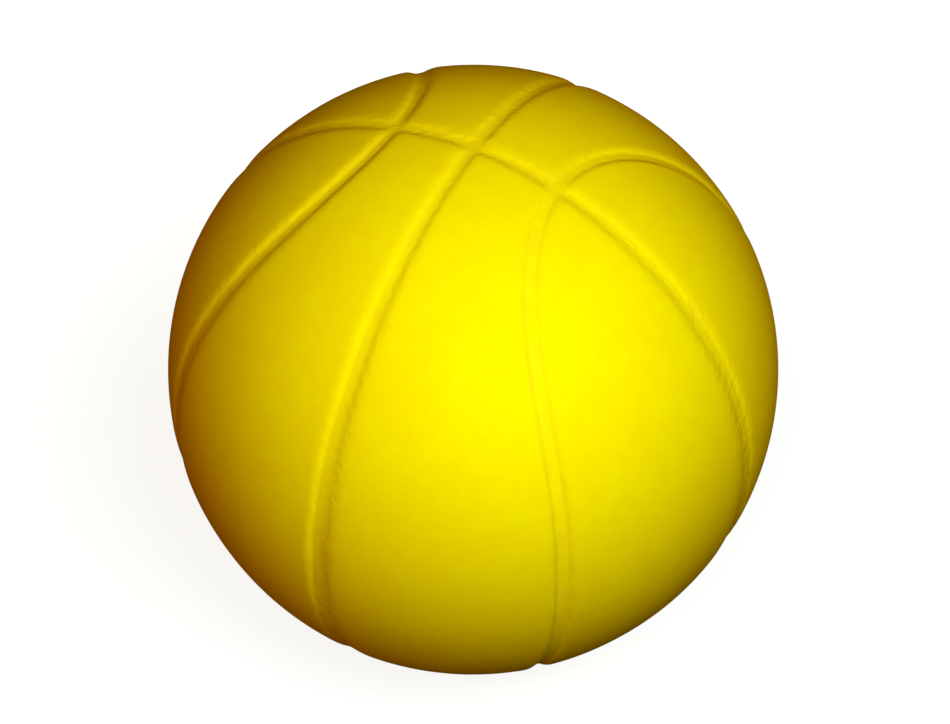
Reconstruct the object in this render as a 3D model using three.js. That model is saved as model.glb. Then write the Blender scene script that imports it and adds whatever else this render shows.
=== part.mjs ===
// Foam basketball: a resilient foam core in a moulded skin of two halves.
//
// Millimetres, +Z up, origin at the centre of the ball. Four channels are moulded in: a great
// circle in the XZ plane, a great circle in the YZ plane, and a closed oval round each end of
// the X axis. They divide the ball into eight panels. A channel's walls are soft S curves, a root
// arc running into a lip arc, and the channels grow a little from the poles to the equator. The
// skin follows them at an even thickness, and its halves meet in the floor of the XZ channel all
// round.

import * as THREE from 'three';
import { mergeVertices } from 'three/addons/utils/BufferGeometryUtils.js';

// Driving sizes
const ballDiameter = 200;
const skinThickness = 1;
const bondGap = 0.3; // between the skin and the foam core

// The channels. A wall's middle line is its steepest one, where its two arcs meet.
const channelWidthAtPoles = 4.2; // between the middle lines of the walls
const channelWidthAtEquator = 5.1;
const channelDepthAtPoles = 1.1;
const channelDepthAtEquator = 1.4;
const channelRootRadius = 3.2;
const channelLipRadius = 5.5;

// The ovals, measured along the surface between centre lines
const ovalTipGap = 29.6; // from the YZ channel to an oval's tip, in the XZ channel
const ovalFlankGap = 78.8; // from the YZ channel to an oval's flank, a quarter turn from its tip
const ovalDrawIn = 6.4; // how far an oval is drawn in, halfway between tip and flank

// Facets in an eighth of the ball
const outerArcFacets = 2; // in each arc of a wall, on the outside of the ball
const innerArcFacets = 1; // and on the surfaces inside it
const capRings = 8; // from the X axis to the oval
const bandRings = 4; // from the oval to the YZ channel
const panelSpokes = 10; // from the XZ channel to the XY plane

const ballRadius = ballDiameter / 2;
const quarterTurn = Math.PI / 2;

// Angle from the X axis to the centre line of the oval. The azimuth runs round the X axis from
// the Z axis, so the oval's tips are at 0 and 180 degrees and its flanks at 90 and 270 degrees.
const tipAngle = quarterTurn - ovalTipGap / ballRadius;
const flankAngle = quarterTurn - ovalFlankGap / ballRadius;
const drawInAngle = ovalDrawIn / ballRadius;
const ovalMean = (tipAngle + flankAngle - drawInAngle) / 2;
const ovalReach = (tipAngle - flankAngle) / 2;

function ovalAngle(azimuth) {
  return ovalMean + ovalReach * Math.cos(2 * azimuth) + (drawInAngle / 2) * Math.cos(4 * azimuth);
}

function ovalSlope(azimuth) {
  return -2 * ovalReach * Math.sin(2 * azimuth) - 2 * drawInAngle * Math.sin(4 * azimuth);
}

// A channel size where the surface is at a height, which runs from -1 to 1 between the poles
function sizeAt(height, atPoles, atEquator) {
  return THREE.MathUtils.lerp(atEquator, atPoles, height * height);
}

// Half the cross-section of a channel, from the middle of its floor to the panel: distances from
// the centre line, and depths. An inset gives the same channel on a surface that lies that far
// inside the ball's outer one, all at the same thickness.
function channelSection(inset, height) {
  const width = sizeAt(height, channelWidthAtPoles, channelWidthAtEquator);
  const depth = sizeAt(height, channelDepthAtPoles, channelDepthAtEquator);
  const wallTurn = Math.acos(1 - depth / (channelRootRadius + channelLipRadius));
  const floorEdge = width / 2 - channelRootRadius * Math.sin(wallTurn);
  const panelEdge = width / 2 + channelLipRadius * Math.sin(wallTurn);
  const rootRadius = channelRootRadius + inset;
  const lipRadius = channelLipRadius - inset;

  const facets = inset > 0 ? innerArcFacets : outerArcFacets;
  const section = [{ distance: 0, depth }];
  for (let facet = 0; facet <= facets; facet += 1) {
    const turn = wallTurn * (facet / facets);
    section.push({
      distance: floorEdge + rootRadius * Math.sin(turn),
      depth: depth - rootRadius * (1 - Math.cos(turn)),
    });
  }
  for (let facet = facets - 1; facet >= 0; facet -= 1) {
    const turn = wallTurn * (facet / facets);
    section.push({
      distance: panelEdge - lipRadius * Math.sin(turn),
      depth: lipRadius * (1 - Math.cos(turn)),
    });
  }
  return section;
}

// The lines along the channels and panels of an eighth of the ball, for the surface at an inset
function eighthLines(inset) {
  const radius = ballRadius - inset;
  const sectionLines = channelSection(inset, 0).length;
  const panelEdge = sectionLines - 1;

  const heightAt = (angle, azimuth) => Math.sin(angle) * Math.cos(azimuth);
  const panelDepth = () => 0;
  const depthOf = (line) => (height) => channelSection(inset, height)[line].depth;

  const besideOval = (line, side) => (azimuth) => {
    const angle = ovalAngle(azimuth);
    const { distance } = channelSection(inset, heightAt(angle, azimuth))[line];
    const lean = Math.hypot(1, ovalSlope(azimuth) / Math.sin(angle));
    return angle + side * (distance / radius) * lean;
  };
  const besideMiddle = (line) => (azimuth) => {
    const { distance } = channelSection(inset, heightAt(quarterTurn, azimuth))[line];
    return quarterTurn - Math.asin(distance / radius);
  };

  // The ring lines, from the X axis to the YZ plane. Each gives its angle from the X axis at an
  // azimuth, and its depth at a height.
  const rings = [];
  const innerEdge = besideOval(panelEdge, -1);
  for (let ring = 1; ring < capRings; ring += 1) {
    const share = ring / capRings;
    rings.push({ angleAt: (azimuth) => share * innerEdge(azimuth), depthAt: panelDepth });
  }
  for (let line = panelEdge; line > 0; line -= 1) {
    rings.push({ angleAt: besideOval(line, -1), depthAt: depthOf(line) });
  }
  for (let line = 1; line <= panelEdge; line += 1) {
    rings.push({ angleAt: besideOval(line, 1), depthAt: depthOf(line) });
  }
  const outerEdge = besideOval(panelEdge, 1);
  const middleEdge = besideMiddle(panelEdge);
  for (let ring = 1; ring < bandRings; ring += 1) {
    const share = ring / bandRings;
    rings.push({
      angleAt: (azimuth) => THREE.MathUtils.lerp(outerEdge(azimuth), middleEdge(azimuth), share),
      depthAt: panelDepth,
    });
  }
  for (let line = panelEdge; line >= 0; line -= 1) {
    rings.push({ angleAt: besideMiddle(line), depthAt: depthOf(line) });
  }

  // Azimuth at which a ring line crosses a line of the XZ channel
  function crossing(ring, line) {
    const rounds = 12;
    let azimuth = 0;
    for (let round = 0; round < rounds; round += 1) {
      const angle = ring.angleAt(azimuth);
      const { distance } = channelSection(inset, heightAt(angle, azimuth))[line];
      azimuth = Math.asin(distance / (radius * Math.sin(angle)));
    }
    return azimuth;
  }

  return { radius, sectionLines, heightAt, depthOf, rings, crossing };
}

function pointAt(angle, azimuth, radius) {
  const fromAxis = radius * Math.sin(angle);
  return new THREE.Vector3(
    radius * Math.cos(angle),
    fromAxis * Math.sin(azimuth),
    fromAxis * Math.cos(azimuth),
  );
}

// Points of the eighth of the ball where x, y and z are positive, as rows along the ring lines.
// Each row starts with the lines of the XZ channel and goes on with the spokes of the panel.
// The first row lies across the channel at the X axis, where the spokes start from its lip.
function eighthOfSurface(inset) {
  const { radius, sectionLines, heightAt, depthOf, rings, crossing } = eighthLines(inset);

  const firstRow = channelSection(inset, 0).map(({ distance, depth }) =>
    pointAt(Math.asin(distance / radius), quarterTurn, radius - depth),
  );
  const lipPoint = firstRow[firstRow.length - 1];
  for (let spoke = 1; spoke <= panelSpokes; spoke += 1) {
    firstRow.push(lipPoint);
  }

  const rows = [firstRow];
  for (const ring of rings) {
    const row = [];
    for (let line = 0; line < sectionLines; line += 1) {
      const azimuth = crossing(ring, line);
      const angle = ring.angleAt(azimuth);
      const height = heightAt(angle, azimuth);
      const depth = Math.max(depthOf(line)(height), ring.depthAt(height));
      row.push(pointAt(angle, azimuth, radius - depth));
    }
    const start = crossing(ring, sectionLines - 1);
    for (let spoke = 1; spoke <= panelSpokes; spoke += 1) {
      const azimuth = THREE.MathUtils.lerp(start, quarterTurn, spoke / panelSpokes);
      const angle = ring.angleAt(azimuth);
      row.push(pointAt(angle, azimuth, radius - ring.depthAt(heightAt(angle, azimuth))));
    }
    rows.push(row);
  }
  return rows;
}

function addTriangle(triangles, a, b, c) {
  if (!a.equals(b) && !b.equals(c) && !c.equals(a)) {
    triangles.push([a, b, c]);
  }
}

// The surface on one side of the XZ plane or on both, mirrored from its eighth
function mirroredSurface(inset, sidesOfY) {
  const eighth = eighthOfSurface(inset);
  const triangles = [];
  for (const x of [1, -1]) {
    for (const y of sidesOfY) {
      for (const z of [1, -1]) {
        const mirror = new THREE.Vector3(x, y, z);
        const rows = eighth.map((row) => row.map((point) => point.clone().multiply(mirror)));
        const turned = x * y * z < 0;
        for (let i = 0; i + 1 < rows.length; i += 1) {
          for (let j = 0; j + 1 < rows[i].length; j += 1) {
            const [a, b] = [rows[i][j], rows[i][j + 1]];
            const [c, d] = [rows[i + 1][j + 1], rows[i + 1][j]];
            addTriangle(triangles, a, turned ? c : b, turned ? b : c);
            addTriangle(triangles, a, turned ? d : c, turned ? c : d);
          }
        }
      }
    }
  }
  return triangles;
}

// Outline of a surface in the XZ plane, in order round the Y axis
function outlineOf(inset) {
  const quarter = eighthOfSurface(inset).map((row) => new THREE.Vector2(row[0].x, row[0].z));
  const outline = [];
  for (const [x, z] of [[1, 1], [-1, 1], [-1, -1], [1, -1]]) {
    const mirrored = quarter.map((point) => new THREE.Vector2(x * point.x, z * point.y));
    const inOrder = x * z > 0 ? mirrored : mirrored.reverse();
    outline.push(...inOrder.slice(0, -1));
  }
  return outline;
}

// Flat ring that closes one half of the skin in the XZ plane
function partingFace(side) {
  const outer = outlineOf(0);
  const inner = outlineOf(skinThickness);
  const points = [...outer, ...inner].map(({ x, y }) => new THREE.Vector3(x, 0, y));
  const triangles = [];
  for (const [a, b, c] of THREE.ShapeUtils.triangulateShape(outer, [inner])) {
    if (side > 0) {
      addTriangle(triangles, points[a], points[b], points[c]);
    } else {
      addTriangle(triangles, points[a], points[c], points[b]);
    }
  }
  return triangles;
}

function solidFrom(triangles) {
  const geometry = new THREE.BufferGeometry();
  geometry.setFromPoints(triangles.flat());
  return mergeVertices(geometry);
}

function skinHalf(side) {
  const outside = mirroredSurface(0, [side]);
  const inside = mirroredSurface(skinThickness, [side]).map(([a, b, c]) => [a, c, b]);
  return solidFrom([...outside, ...inside, ...partingFace(side)]);
}

function foamCore() {
  return solidFrom(mirroredSurface(skinThickness + bondGap, [1, -1]));
}

const skinMaterial = new THREE.MeshStandardMaterial({ color: 0xf0d800, roughness: 0.5, metalness: 0 });
const foamMaterial = new THREE.MeshStandardMaterial({ color: 0xe6cf62, roughness: 0.95, metalness: 0 });

function addPart(group, name, geometry, material) {
  const mesh = new THREE.Mesh(geometry, material);
  mesh.name = name;
  group.add(mesh);
}

const basketball = new THREE.Group();
addPart(basketball, 'foam_core', foamCore(), foamMaterial);
addPart(basketball, 'skin_front', skinHalf(-1), skinMaterial);
addPart(basketball, 'skin_rear', skinHalf(1), skinMaterial);

export default basketball;
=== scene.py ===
from math import acos, asin, atan2, cos, exp, hypot, pi, radians, sin, sqrt

import bpy
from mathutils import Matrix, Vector, noise


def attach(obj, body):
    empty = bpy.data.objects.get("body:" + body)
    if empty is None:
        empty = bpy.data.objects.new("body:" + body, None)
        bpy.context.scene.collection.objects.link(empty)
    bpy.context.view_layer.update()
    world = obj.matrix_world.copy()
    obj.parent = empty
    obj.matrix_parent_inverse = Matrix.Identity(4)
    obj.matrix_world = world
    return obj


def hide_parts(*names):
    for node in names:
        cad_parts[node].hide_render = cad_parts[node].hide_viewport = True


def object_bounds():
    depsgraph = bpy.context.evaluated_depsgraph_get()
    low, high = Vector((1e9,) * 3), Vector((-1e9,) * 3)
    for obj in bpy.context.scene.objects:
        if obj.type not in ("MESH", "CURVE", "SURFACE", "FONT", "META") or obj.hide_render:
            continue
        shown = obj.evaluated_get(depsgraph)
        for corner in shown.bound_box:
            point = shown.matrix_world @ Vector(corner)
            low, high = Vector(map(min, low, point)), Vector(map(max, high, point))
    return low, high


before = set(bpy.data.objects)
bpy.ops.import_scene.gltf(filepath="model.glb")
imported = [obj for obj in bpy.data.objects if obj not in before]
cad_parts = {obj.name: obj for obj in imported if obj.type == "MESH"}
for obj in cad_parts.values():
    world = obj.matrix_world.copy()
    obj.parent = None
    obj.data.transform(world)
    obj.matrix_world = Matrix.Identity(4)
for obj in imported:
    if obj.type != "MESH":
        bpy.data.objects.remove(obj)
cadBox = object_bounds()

quarterTurn = pi / 2
mergeDistance = 1e-7  # metres, far under the spacing of any two vertices
smoothAngle = 50  # degrees, edges sharper than this stay crisp
noiseMean = 0.5  # of a noise texture
mm = 0.001


# Camera, at the photograph's viewing angle
cameraSetup = {
    "azimuth": 28.8,  # degrees, from in front of the ball towards its right
    "elevation": 46.5,
    "roll": 0.16,
    "distance": 1.039,
    "lens": 119.6,  # mm, as the sensor
    "sensor": 36,
    "aimRight": 0.56 * mm,  # the ball sits a little left of and below the middle of the picture
    "aimUp": 2.47 * mm,
}


def directionTo(azimuth, elevation):  # degrees, to a unit vector away from the ball
    a, e = radians(azimuth), radians(elevation)
    return Vector((sin(a) * cos(e), -cos(a) * cos(e), sin(e)))


def placeCamera():
    data = bpy.data.cameras.new("photoCamera")
    camera = bpy.data.objects.new("photoCamera", data)
    bpy.context.scene.collection.objects.link(camera)
    data.lens = cameraSetup["lens"]
    data.sensor_width = cameraSetup["sensor"]
    back = directionTo(cameraSetup["azimuth"], cameraSetup["elevation"])
    right = Vector((0, 0, 1)).cross(back).normalized()
    up = back.cross(right)
    camera.location = back * cameraSetup["distance"]
    aim = right * cameraSetup["aimRight"] + up * cameraSetup["aimUp"]
    camera.rotation_euler = (aim - camera.location).to_track_quat("-Z", "Y").to_euler()
    camera.rotation_euler.rotate_axis("Z", radians(cameraSetup["roll"]))
    bpy.context.scene.camera = camera
    print("camera placed")


# Shader maths: a Wire is a socket that can be added and multiplied like a number
class Wire:
    def __init__(self, shader, socket):
        self.shader = shader
        self.socket = socket

    def __add__(self, other):
        return self.shader.maths("ADD", self, other)

    def __radd__(self, other):
        return self.shader.maths("ADD", other, self)

    def __sub__(self, other):
        return self.shader.maths("SUBTRACT", self, other)

    def __rsub__(self, other):
        return self.shader.maths("SUBTRACT", other, self)

    def __mul__(self, other):
        return self.shader.maths("MULTIPLY", self, other)

    def __rmul__(self, other):
        return self.shader.maths("MULTIPLY", other, self)


class Shader:
    def __init__(self, name):
        self.material = bpy.data.materials.new(name)
        self.material.use_nodes = True
        self.tree = self.material.node_tree
        self.tree.nodes.clear()

    def node(self, kind, settings=None, sockets=None, output=0):
        made = self.tree.nodes.new(kind)
        for key, value in (settings or {}).items():
            setattr(made, key, value)
        for key, value in (sockets or {}).items():
            if isinstance(value, Wire):
                self.tree.links.new(value.socket, made.inputs[key])
            else:
                made.inputs[key].default_value = value
        return Wire(self, made.outputs[output])

    def maths(self, operation, *values, clamp=False):
        settings = {"operation": operation, "use_clamp": clamp}
        return self.node("ShaderNodeMath", settings, dict(enumerate(values)))

    def place(self):  # position on the piece, in metres
        return self.node("ShaderNodeTexCoord", output="Object")

    def noise(self, scale, detail=2.0, roughness=0.5):
        sockets = {"Vector": self.place(), "Scale": scale, "Detail": detail, "Roughness": roughness}
        return self.node("ShaderNodeTexNoise", sockets=sockets, output="Fac")

    def fade(self, value, start, end, low=0.0, high=1.0):  # smooth step from low to high
        sockets = {"Value": value, "From Min": start, "From Max": end, "To Min": low, "To Max": high}
        return self.node("ShaderNodeMapRange", {"interpolation_type": "SMOOTHSTEP"}, sockets)

    def mix(self, share, first, second):  # of two colours
        sockets = {"Factor": share, 6: first, 7: second}
        return self.node("ShaderNodeMix", {"data_type": "RGBA"}, sockets, output=2)

    def bump(self, height, distance, normal=None):
        sockets = {"Height": height, "Distance": distance, "Strength": 1.0}
        if normal:
            sockets["Normal"] = normal
        return self.node("ShaderNodeBump", sockets=sockets)

    def finish(self, surface):
        made = self.tree.nodes.new("ShaderNodeOutputMaterial")
        self.tree.links.new(surface.socket, made.inputs["Surface"])
        return self.material


# The skin's colour and finish
skinFinish = {
    "yellow": (0.92, 0.87, 0.0, 1),
    "deepYellow": (0.89, 0.77, 0.0, 1),
    # a darker brown, used as dust and painted shade in the channels and as painted shade on their
    # walls
    "dustAndPaintedShade": (0.6, 0.42, 0.03, 1),
    "noiseDetail": 3,
    "toneScale": 24,  # to the metre, as all the scales here
    "toneMix": 0.5,  # share of the broad tone, the rest is blotches
    "toneFade": (0.38, 0.62),
    "deepShare": 0.4,  # most that the deep yellow takes
    "channelDustAndShadeScale": 120,  # in the channels, as dust and painted shade, darkest in their deep floors
    "channelDustAndShadeFade": (0.35, 0.75),
    "channelDustAndShadeShare": 0.12,
    "wallPaintedShadeScale": 60,  # painted shade on their walls
    "wallPaintedShadeFade": (0.35, 0.65),
    "wallPaintedShadeShare": 0.15,
    "roughness": 0.5,
    "roughnessRange": 0.1,
    "waveScale": 65,
    "waveHeight": 0.12 * mm,
    "blotchScale": 170,
    "blotchRoughness": 0.6,
    "blotchHeight": 0.06 * mm,
    "peelScale": 900,
    "peelHeight": 0.02 * mm,
    "raggedScale": 400,  # on the walls of the channels
    "raggedHeight": 1.6 * mm,
}


def skinMaterial():
    shader = Shader("moulded yellow skin")
    detail, mixShare = skinFinish["noiseDetail"], skinFinish["toneMix"]
    broad = shader.noise(skinFinish["toneScale"], detail)
    blotches = shader.noise(skinFinish["blotchScale"], detail, skinFinish["blotchRoughness"])
    tone = shader.fade(broad * mixShare + blotches * (1 - mixShare), *skinFinish["toneFade"])
    deepPart = tone * skinFinish["deepShare"]
    colour = shader.mix(deepPart, skinFinish["yellow"], skinFinish["deepYellow"])

    # 0 on the panels and about 1 in the deepest floor, written by pressChannels
    depth = shader.node("ShaderNodeAttribute", {"attribute_name": "channelDepth"}, output="Fac")
    # Dust and painted shade: darker brown in the channels, most in their deep floors
    dustAndShadePatches = shader.fade(shader.noise(skinFinish["channelDustAndShadeScale"], detail), *skinFinish["channelDustAndShadeFade"])
    colour = shader.mix(depth * dustAndShadePatches * skinFinish["channelDustAndShadeShare"], colour, skinFinish["dustAndPaintedShade"])
    wallZone = depth * (1 - depth)  # most on the walls
    # Painted shade: a thin darker line along both walls of every channel
    wallNoise = shader.noise(skinFinish["wallPaintedShadeScale"], detail)
    wallPaintedShade = wallZone * shader.fade(wallNoise, *skinFinish["wallPaintedShadeFade"])
    colour = shader.mix(wallPaintedShade * skinFinish["wallPaintedShadeShare"], colour, skinFinish["dustAndPaintedShade"])

    roughness = skinFinish["roughness"] + (blotches - noiseMean) * skinFinish["roughnessRange"]
    waves = shader.bump(shader.noise(skinFinish["waveScale"]), skinFinish["waveHeight"])
    dents = shader.bump(blotches, skinFinish["blotchHeight"], waves)
    ragged = wallZone * shader.noise(skinFinish["raggedScale"], detail)
    walls = shader.bump(ragged, skinFinish["raggedHeight"], dents)
    peel = shader.bump(shader.noise(skinFinish["peelScale"]), skinFinish["peelHeight"], walls)
    surface = shader.node(
        "ShaderNodeBsdfPrincipled",
        sockets={
            "Base Color": colour,
            "Roughness": roughness,
            "Specular IOR Level": 0.0,  # matt, a gloss would pale the ball's edge
            "Normal": peel,
        },
    )
    return shader.finish(surface)


# The foam inside
foamFinish = {
    "cream": (0.79, 0.62, 0.12, 1),
    "paintedPoreShade": (0.45, 0.33, 0.05, 1),
    "cellScale": 1400,  # cells a metre
    "cellDepth": 0.2 * mm,
    "cellFade": (0.1, 0.6),  # from the painted shade in the pits of the cells to the cream
    "roughness": 0.95,
}


def foamMaterial():
    shader = Shader("open cell foam")
    sockets = {"Vector": shader.place(), "Scale": foamFinish["cellScale"]}
    cells = shader.node("ShaderNodeTexVoronoi", sockets=sockets, output="Distance")
    # Painted shade: the foam is darker in the pits of its cells, where the bump dips
    lightness = shader.fade(cells, *foamFinish["cellFade"])
    colour = shader.mix(lightness, foamFinish["paintedPoreShade"], foamFinish["cream"])
    pores = shader.bump(cells, foamFinish["cellDepth"])
    surface = shader.node(
        "ShaderNodeBsdfPrincipled",
        sockets={"Base Color": colour, "Roughness": foamFinish["roughness"], "Normal": pores},
    )
    return shader.finish(surface)


# The channel pattern, shared by the skin and the foam under it
ball = {
    "radius": 100 * mm,
    "ovalTipGap": 29.6 * mm,  # along the surface, from the middle channel to an oval's tip
    "ovalFlankGap": 78.8 * mm,  # and to its flank
    "ovalDrawIn": 6.4 * mm,
}
channel = {  # a pair of sizes is at the poles and at the equator
    "wallGap": (4.2 * mm, 5.1 * mm),  # between the steepest lines of the two walls
    "depth": (1.1 * mm, 1.4 * mm),
    "lipRadius": 5.5 * mm,
    "rootRadius": 3.2 * mm,
    "wallSpread": {  # how gentle each wall is, at the poles and at the equator
        "front": (1.2, 2.1),
        "rear": (1.3, 1.1),
        "right": (1.1, 2),
        "left": (1.3, 0.8),
        "rightOvalInner": (0.9, 0.8),
        "rightOvalOuter": (0.9, 0.8),
        "leftOvalInner": (1, 1.2),
        "leftOvalOuter": (1.2, 2.2),
    },
    "wallShift": {  # how far each wall moves outward by the equator
        "front": 0.6 * mm,
        "rear": 0.6 * mm,
        "right": 0.5 * mm,
        "left": 0.8 * mm,
        "rightOvalInner": 0,
        "rightOvalOuter": 0,
        "leftOvalInner": 1.1 * mm,
        "leftOvalOuter": 0.2 * mm,
    },
    "depthShare": {  # of each channel's depth at the top, at the equator and below it
        "side": (0.9, 0.58, 0.58),
        "middle": (1, 0.85, 0.5),
        "rightOval": (1, 1.05, 0.95),
        "leftOval": (1.1, 0.52, 0.5),
    },
    "lowerPace": 4,  # how soon the depth changes below the equator
    "shareReach": 3 * mm,  # how gently one channel's depth passes to the next
    "leftOvalLean": 1.3 * mm,  # how much nearer to the middle the left oval's tips were moulded
    "cornerRadius": 1.2 * mm,  # of the panels, where two channels cross
    "edgeWander": 0.12 * mm,  # how far moulded edges stray
    "edgeWanderLength": 16 * mm,
    "swell": 0.12 * mm,  # how far the panels rise and fall
    "swellLength": 35 * mm,
    "swellPlace": (7, 3, 5),  # in the noise, away from the edges' part of it
    "margin": 2 * mm,  # beyond the lip, where the fine mesh ends
}
tipAngle = quarterTurn - ball["ovalTipGap"] / ball["radius"]
flankAngle = quarterTurn - ball["ovalFlankGap"] / ball["radius"]
drawInAngle = ball["ovalDrawIn"] / ball["radius"]


def ovalAngle(azimuth):  # from the X axis to the oval's centre line
    mean = (tipAngle + flankAngle - drawInAngle) / 2
    reach = (tipAngle - flankAngle) / 2
    return mean + reach * cos(2 * azimuth) + drawInAngle / 2 * cos(4 * azimuth)


def ovalLean(azimuth):  # how much longer a step across the oval is, measured along a spoke
    slope = -(tipAngle - flankAngle) * sin(2 * azimuth) - 2 * drawInAngle * sin(4 * azimuth)
    return hypot(1, slope / sin(ovalAngle(azimuth)))


def sizeAt(pair, height):  # height runs from -1 to 1 between the poles
    atPoles, atEquator = pair
    return atEquator + (atPoles - atEquator) * height * height


def steepestLine(height):  # of a wall, from the channel's centre line
    return sizeAt(channel["wallGap"], height) / 2


def wallTurn(height):  # steepest angle of a wall, which is an S of two arcs
    radii = channel["lipRadius"] + channel["rootRadius"]
    return acos(1 - sizeAt(channel["depth"], height) / radii)


def channelDepth(distance, height):
    depth = sizeAt(channel["depth"], height)
    lip, root = channel["lipRadius"], channel["rootRadius"]
    steepest = steepestLine(height)
    floorEnd = steepest - root * sin(wallTurn(height))
    lipEnd = steepest + lip * sin(wallTurn(height))
    if distance <= floorEnd:
        return depth
    if distance < steepest:
        return depth - root + sqrt(root ** 2 - (distance - floorEnd) ** 2)
    if distance < lipEnd:
        return lip - sqrt(lip ** 2 - (lipEnd - distance) ** 2)
    return 0.0


def smoothMin(first, second, reach):  # the lesser, with a round corner where they are alike
    overlap = max(reach - abs(first - second), 0) / reach
    return min(first, second) - overlap * overlap * reach / 4


def spreadDistance(distance, wall, height):  # stretched about the wall's steepest line
    spread = sizeAt(channel["wallSpread"][wall], height)
    steepest = steepestLine(height)
    shift = channel["wallShift"][wall] * (1 - height * height)
    return steepest + (distance - steepest - shift) / spread


def shareOf(name, height):
    atTop, atEquator, atBottom = channel["depthShare"][name]
    if height > 0:
        return atEquator + (atTop - atEquator) * height
    return atEquator + (atBottom - atEquator) * min(-height * channel["lowerPace"], 1)


def channelDistance(point):  # from a point to the nearest centre line, and the depth's share
    x, y, z = (abs(value) for value in point)
    radius = ball["radius"]
    azimuth = atan2(y, z)
    beyondOval = acos(min(x, 1)) - ovalAngle(azimuth)
    if point.x < 0:
        beyondOval -= channel["leftOvalLean"] / radius * cos(azimuth) ** 2
    toSide = radius * asin(min(y, 1))
    toMiddle = radius * asin(min(x, 1))
    toOval = radius * abs(beyondOval) / ovalLean(azimuth)
    oval = "rightOval" if point.x > 0 else "leftOval"
    toSide = spreadDistance(toSide, "front" if point.y < 0 else "rear", z)
    toMiddle = spreadDistance(toMiddle, "right" if point.x > 0 else "left", z)
    toOval = spreadDistance(toOval, oval + ("Outer" if beyondOval > 0 else "Inner"), z)
    pulls = [exp(-distance / channel["shareReach"]) for distance in (toSide, toMiddle, toOval)]
    shares = [shareOf(name, point.z) for name in ("side", "middle", oval)]
    share = sum(pull * part for pull, part in zip(pulls, shares)) / sum(pulls)
    reach = channel["cornerRadius"] * 2
    return smoothMin(smoothMin(toSide, toMiddle, reach), toOval, reach), share


# Ring and spoke lines of an eighth of the ball, packed closely across the channels
meshLines = {
    "across": 20,  # from a channel's centre line to past its lip
    "cap": 34,  # from the X axis to the oval
    "band": 22,  # from the oval to the middle channel
    "spokes": 40,
}
azimuthSteps = 10  # enough for azimuthBeside to settle


def fineEdge(height):
    lipRun = channel["lipRadius"] * sin(wallTurn(height))
    return steepestLine(height) + lipRun + channel["margin"]


def besideOval(share):
    def angleAt(azimuth):
        angle = ovalAngle(azimuth)
        edge = fineEdge(sin(angle) * cos(azimuth))
        return angle + share * edge / ball["radius"] * ovalLean(azimuth)
    return angleAt


def besideMiddle(share):
    return lambda azimuth: quarterTurn - asin(share * fineEdge(cos(azimuth)) / ball["radius"])


def between(first, second, share):
    return lambda azimuth: first(azimuth) * (1 - share) + second(azimuth) * share


def ringLines(lines):
    across = lines["across"]
    innerEdge, outerEdge, middleEdge = besideOval(-1), besideOval(1), besideMiddle(1)
    rings = [between(lambda azimuth: 0, innerEdge, i / lines["cap"]) for i in range(1, lines["cap"])]
    rings += [besideOval(i / across) for i in range(-across, across + 1)]
    rings += [between(outerEdge, middleEdge, i / lines["band"]) for i in range(1, lines["band"])]
    rings += [besideMiddle(i / across) for i in range(across, -1, -1)]
    return rings


def onBall(angle, azimuth):  # point on the unit ball
    return Vector((cos(angle), sin(angle) * sin(azimuth), sin(angle) * cos(azimuth)))


def azimuthBeside(angleAt, share):  # where a ring line runs at that share of the fine edge
    azimuth = 0
    for _ in range(azimuthSteps):
        angle = angleAt(azimuth)
        offset = share * fineEdge(sin(angle) * cos(azimuth)) / ball["radius"]
        azimuth = asin(min(offset / sin(angle), 1))
    return azimuth


def eighthPoints(lines):  # rows of points, from the X axis to the middle channel
    across, spokes = lines["across"], lines["spokes"]
    edge = fineEdge(0) / ball["radius"]
    rings = ringLines(lines)
    firstRing = rings[0](quarterTurn)  # the first row must not run past it, or the mesh folds
    offsets = [min(asin(edge * i / across), firstRing) for i in range(across + 1)]
    firstRow = [onBall(offset, quarterTurn) for offset in offsets]
    rows = [firstRow + firstRow[-1:] * spokes]
    for angleAt in rings:
        azimuths = [azimuthBeside(angleAt, i / across) for i in range(across + 1)]
        step = (quarterTurn - azimuths[-1]) / spokes
        azimuths += [azimuths[-1] + step * i for i in range(1, spokes + 1)]
        rows.append([onBall(angleAt(azimuth), azimuth) for azimuth in azimuths])
    return rows


def selectOnly(piece):
    bpy.ops.object.select_all(action="DESELECT")
    piece.select_set(True)
    bpy.context.view_layer.objects.active = piece


def applyModifier(piece, kind, **settings):
    modifier = piece.modifiers.new(kind, kind)
    for key, value in settings.items():
        setattr(modifier, key, value)
    selectOnly(piece)
    bpy.ops.object.modifier_apply(modifier=modifier.name)


def cleanMesh(piece):
    selectOnly(piece)
    bpy.ops.object.mode_set(mode="EDIT")
    bpy.ops.mesh.select_all(action="SELECT")
    bpy.ops.mesh.remove_doubles(threshold=mergeDistance)
    bpy.ops.mesh.normals_make_consistent(inside=False)
    bpy.ops.object.mode_set(mode="OBJECT")


def ballPatch(name, lines, radius, mirrors):
    rows = eighthPoints(lines)
    lastColumn, lastRow = len(rows[0]) - 1, len(rows) - 1
    bpy.ops.object.select_all(action="DESELECT")
    bpy.ops.mesh.primitive_grid_add(
        x_subdivisions=lastColumn, y_subdivisions=lastRow, size=1, location=(0, 0, 0)
    )
    patch = bpy.context.object
    patch.name = name
    for vertex in patch.data.vertices:  # the flat grid is laid on an eighth of the ball
        column = round((vertex.co.x + 0.5) * lastColumn)
        row = round((vertex.co.y + 0.5) * lastRow)
        vertex.co = rows[row][column] * radius
    cleanMesh(patch)
    applyModifier(
        patch, "MIRROR", use_axis=mirrors, use_mirror_merge=True, merge_threshold=mergeDistance
    )
    return patch


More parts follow.
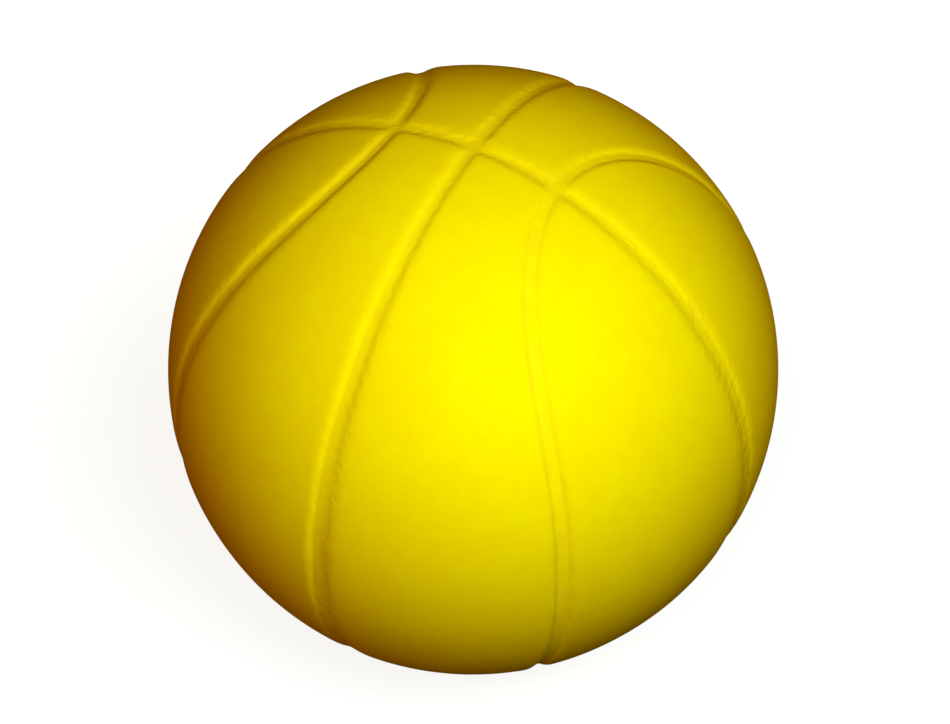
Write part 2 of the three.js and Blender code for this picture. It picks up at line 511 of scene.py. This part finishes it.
def pressChannels(piece, inset):
    values = piece.data.attributes.new("channelDepth", "FLOAT", "POINT").data
    wanderScale = ball["radius"] / channel["edgeWanderLength"]
    swellScale = ball["radius"] / channel["swellLength"]
    swellPlace = Vector(channel["swellPlace"])
    for vertex, value in zip(piece.data.vertices, values):
        point = vertex.co.normalized()
        wander = channel["edgeWander"] * noise.noise(point * wanderScale)
        distance, share = channelDistance(point)
        depth = channelDepth(distance + wander, point.z) * share
        swell = channel["swell"] * noise.noise(point * swellScale + swellPlace)
        vertex.co = point * (ball["radius"] - inset - depth + swell)
        value.value = depth / channel["depth"][1]


def smoothShade(piece):
    selectOnly(piece)
    bpy.ops.object.shade_smooth_by_angle(angle=radians(smoothAngle))


# The two halves of the skin
skin = {
    "thickness": 1 * mm,
    "partingEdge": 0.12 * mm,  # rounded edge where the halves meet
    "partingSegments": 2,
    "partingAngle": 60,  # degrees, only edges sharper than this are rounded
}


def skinHalf(name, node, side, material):
    half = ballPatch(name, meshLines, ball["radius"], (True, False, True))
    if side < 0:
        for vertex in half.data.vertices:
            vertex.co.y = -vertex.co.y
        cleanMesh(half)
    pressChannels(half, 0)
    for vertex in half.data.vertices:
        if abs(vertex.co.y) < mergeDistance:
            vertex.co.y = 0
    applyModifier(half, "SOLIDIFY", thickness=skin["thickness"], offset=-1)
    applyModifier(
        half, "BEVEL", width=skin["partingEdge"], segments=skin["partingSegments"],
        limit_method="ANGLE", angle_limit=radians(skin["partingAngle"]),
    )
    smoothShade(half)
    half.data.materials.append(material)
    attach(half, "root")
    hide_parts(node)
    print(name, "made,", len(half.data.polygons), "faces")


# The foam core
core = {
    "inset": 1.3 * mm,  # the skin and the bond's gap
    "lines": {"across": 6, "cap": 16, "band": 10, "spokes": 20},
}


def foamCore(material):
    piece = ballPatch("foamCore", core["lines"], ball["radius"], (True, True, True))
    pressChannels(piece, core["inset"])
    smoothShade(piece)
    piece.data.materials.append(material)
    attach(piece, "root")
    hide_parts("foam_core")
    print("foamCore made,", len(piece.data.polygons), "faces")


# Studio: floor, world and lamps
studio = {
    "floorSize": 6,
    "floorColour": (0.4, 0.5, 0.5, 1),  # as the camera sees it, on top of its glow
    "floorGlow": (0.94, 0.99, 1, 1),
    "glowFade": (0.12, 0.3),  # metres from the spot under the ball
    "glowStrength": (0.88, 1.05),
    "floorBounce": (0.03, 0.03, 0.02, 1),  # as the ball sees it
    "worldColour": (0.14, 0.055, 0.002, 1),
}
lamps = {
    "key": {
        "azimuth": 44, "elevation": 49.5, "distance": 0.4, "size": 0.22, "power": 1.02,
        "colour": (0.69, 1, 1),
    },
    "fill": {
        "azimuth": 10, "elevation": 40, "distance": 1.2, "size": 0.5, "power": 4.1,
        "colour": (1, 0.28, 0.05),
    },
    "side": {
        "azimuth": 95, "elevation": 45, "distance": 1.2, "size": 0.5, "power": 2.3,
        "colour": (1, 0.26, 0.05),
    },
    "back": {  # low behind the ball
        "azimuth": 209, "elevation": 20, "distance": 1.5, "size": 0.5, "power": 0.4,
        "colour": (1, 1, 1),
    },
}


def addLamp(name, settings):
    data = bpy.data.lights.new(name, "AREA")
    data.shape = "DISK"
    data.size = settings["size"]
    data.energy = settings["power"]
    data.color = settings["colour"]
    lamp = bpy.data.objects.new(name, data)
    bpy.context.scene.collection.objects.link(lamp)
    direction = directionTo(settings["azimuth"], settings["elevation"])
    lamp.location = direction * settings["distance"]
    lamp.rotation_euler = direction.to_track_quat("Z", "Y").to_euler()


def makeFloor():
    bpy.ops.object.select_all(action="DESELECT")
    bpy.ops.mesh.primitive_plane_add(size=studio["floorSize"], location=(0, 0, cadBox[0].z))
    floor = bpy.context.object
    floor.name = "studioFloor"
    shader = Shader("pale floor")
    rays = shader.tree.nodes.new("ShaderNodeLightPath")
    seen = Wire(shader, rays.outputs["Is Camera Ray"])
    glossy = Wire(shader, rays.outputs["Is Glossy Ray"])
    glass = Wire(shader, rays.outputs["Is Transmission Ray"])
    away = shader.node(
        "ShaderNodeVectorMath", {"operation": "LENGTH"}, {0: shader.place()}, output="Value"
    )
    strength = shader.fade(away, *studio["glowFade"], *studio["glowStrength"])
    glow = shader.node(
        "ShaderNodeEmission", sockets={"Color": studio["floorGlow"], "Strength": strength}
    )
    lit = shader.node("ShaderNodeBsdfDiffuse", sockets={"Color": studio["floorColour"]})
    white = shader.node("ShaderNodeAddShader", sockets={0: glow, 1: lit})
    plain = shader.node("ShaderNodeBsdfDiffuse", sockets={"Color": studio["floorBounce"]})
    direct = shader.maths("ADD", seen + glossy, glass, clamp=True)
    surface = shader.node("ShaderNodeMixShader", sockets={0: direct, 1: plain, 2: white})
    floor.data.materials.append(shader.finish(surface))


def makeWorld():  # white where it is seen, and dim where it lights the ball
    world = bpy.data.worlds.new("studio")
    bpy.context.scene.world = world
    world.use_nodes = True
    nodes, links = world.node_tree.nodes, world.node_tree.links
    nodes.clear()
    rays = nodes.new("ShaderNodeLightPath")
    direct = rays.outputs["Is Camera Ray"]
    for kind in ("Is Glossy Ray", "Is Transmission Ray"):
        either = nodes.new("ShaderNodeMath")
        either.operation = "ADD"
        links.new(direct, either.inputs[0])
        links.new(rays.outputs[kind], either.inputs[1])
        direct = either.outputs[0]
    white = nodes.new("ShaderNodeBackground")
    white.inputs["Color"].default_value = (1, 1, 1, 1)
    dim = nodes.new("ShaderNodeBackground")
    dim.inputs["Color"].default_value = studio["worldColour"]
    mix = nodes.new("ShaderNodeMixShader")
    output = nodes.new("ShaderNodeOutputWorld")
    links.new(direct, mix.inputs[0])
    links.new(dim.outputs[0], mix.inputs[1])
    links.new(white.outputs[0], mix.inputs[2])
    links.new(mix.outputs[0], output.inputs["Surface"])


def lightStudio():
    makeFloor()
    makeWorld()
    for name, settings in lamps.items():
        addLamp(name, settings)
    bpy.context.scene.view_settings.view_transform = "Standard"
    print("studio lit")


placeCamera()
yellowSkin = skinMaterial()
skinHalf("skinFront", "skin_front", -1, yellowSkin)
skinHalf("skinRear", "skin_rear", 1, yellowSkin)
foamCore(foamMaterial())
lightStudio()
